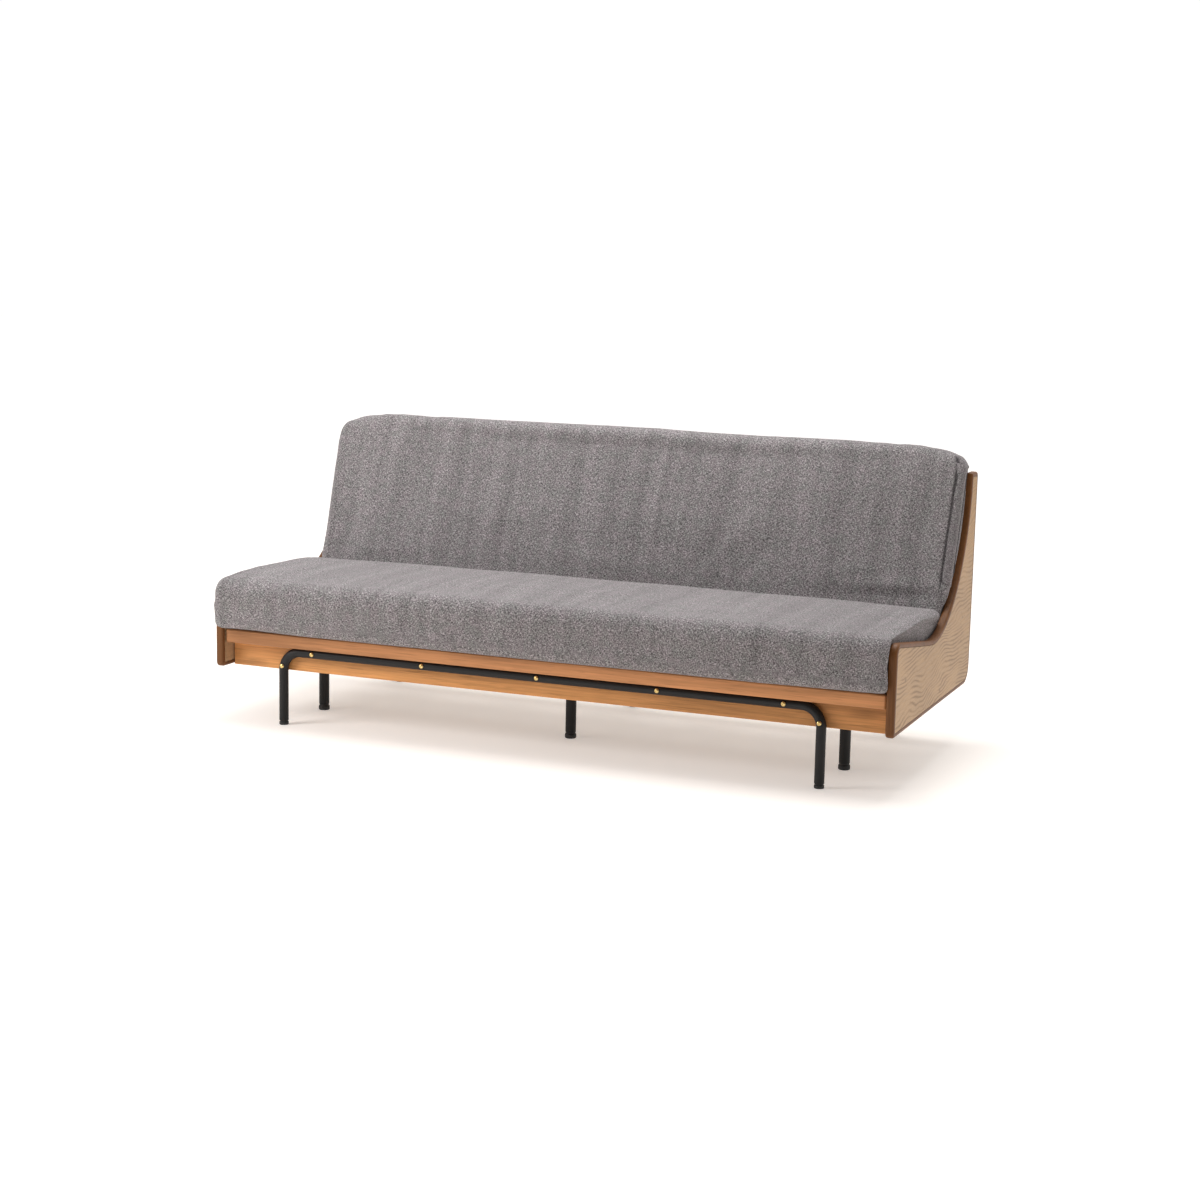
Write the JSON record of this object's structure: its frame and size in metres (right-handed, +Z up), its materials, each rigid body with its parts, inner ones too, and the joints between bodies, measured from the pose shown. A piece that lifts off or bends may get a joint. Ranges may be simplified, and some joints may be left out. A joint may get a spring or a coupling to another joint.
{
  "type": "futon sofa bed",
  "caption": "Sofa bed with shaped wooden side panels, a slatted seat frame that pulls out on a bent tube leg, and loose seat and back cushions.",
  "frame": {"origin": "on the floor under the middle of the sofa bed", "axes": "+X to the right end as seen from the front, +Y to the back, +Z up"},
  "size_m": [1.892, 0.826, 0.8001],
  "materials": {
    "panel_wood": "oiled, open grain, satin",
    "rail_wood": "oiled, fine straight grain, satin",
    "apron_wood": "oiled, satin",
    "slat_wood": "bare, planed",
    "black_steel": "satin black powder coat",
    "brass": "polished",
    "foot_plastic": "matte black",
    "fabric": "grey tweed weave",
    "zip": "black nylon zip"
  },
  "bodies": {
    "fixed_frame": {"side_panel_left": "panel_wood", "side_panel_right": "panel_wood", "front_beam": "slat_wood", "rear_beam": "slat_wood", "runner_left": "slat_wood", "runner_right": "slat_wood", "deck_slat_1": "slat_wood", "deck_slat_2": "slat_wood", "deck_slat_3": "slat_wood", "deck_slat_4": "slat_wood", "deck_slat_5": "slat_wood", "deck_slat_6": "slat_wood", "deck_slat_7": "slat_wood", "front_leg_left": "black_steel", "front_leg_middle": "black_steel", "front_leg_right": "black_steel", "front_foot_left": "foot_plastic", "front_foot_middle": "foot_plastic", "front_foot_right": "foot_plastic", "rear_leg_left": "black_steel", "rear_leg_middle": "black_steel", "rear_leg_right": "black_steel", "rear_foot_left": "foot_plastic", "rear_foot_middle": "foot_plastic", "rear_foot_right": "foot_plastic", "back_bottom_rail": "slat_wood", "back_top_rail": "slat_wood", "back_slat_1": "slat_wood", "back_slat_2": "slat_wood", "back_slat_3": "slat_wood", "back_slat_4": "slat_wood", "back_slat_5": "slat_wood"},
    "pull_out_frame": {"front_rail": "rail_wood", "apron": "apron_wood", "tube_leg": "black_steel", "tube_foot_left": "foot_plastic", "tube_foot_right": "foot_plastic", "bolt_1": "brass", "bolt_2": "brass", "bolt_3": "brass", "bolt_4": "brass", "bolt_5": "brass", "bolt_6": "brass", "bolt_7": "brass", "seat_slat_1": "slat_wood", "seat_slat_2": "slat_wood", "seat_slat_3": "slat_wood", "seat_slat_4": "slat_wood", "seat_slat_5": "slat_wood", "seat_slat_6": "slat_wood", "rear_batten": "slat_wood"},
    "seat_cushion": {"seat_cushion": "fabric"},
    "back_cushion": {"back_cushion": "fabric", "zip_tape": "zip", "zip_pull": "zip"}
  },
  "joints": [
    {"name": "seat_pullout", "type": "slide", "parent": "fixed_frame", "child": "pull_out_frame", "axis": [0, -1, 0], "range_m": [0, 0.28]},
    {"name": "seat_cushion_lift", "type": "slide", "parent": "pull_out_frame", "child": "seat_cushion", "axis": [0, 0, 1], "range_m": [0, 0.5]},
    {"name": "back_cushion_lift", "type": "slide", "parent": "fixed_frame", "child": "back_cushion", "axis": [0, 0.3843, 0.9232], "range_m": [0, 0.55]}
  ]
}
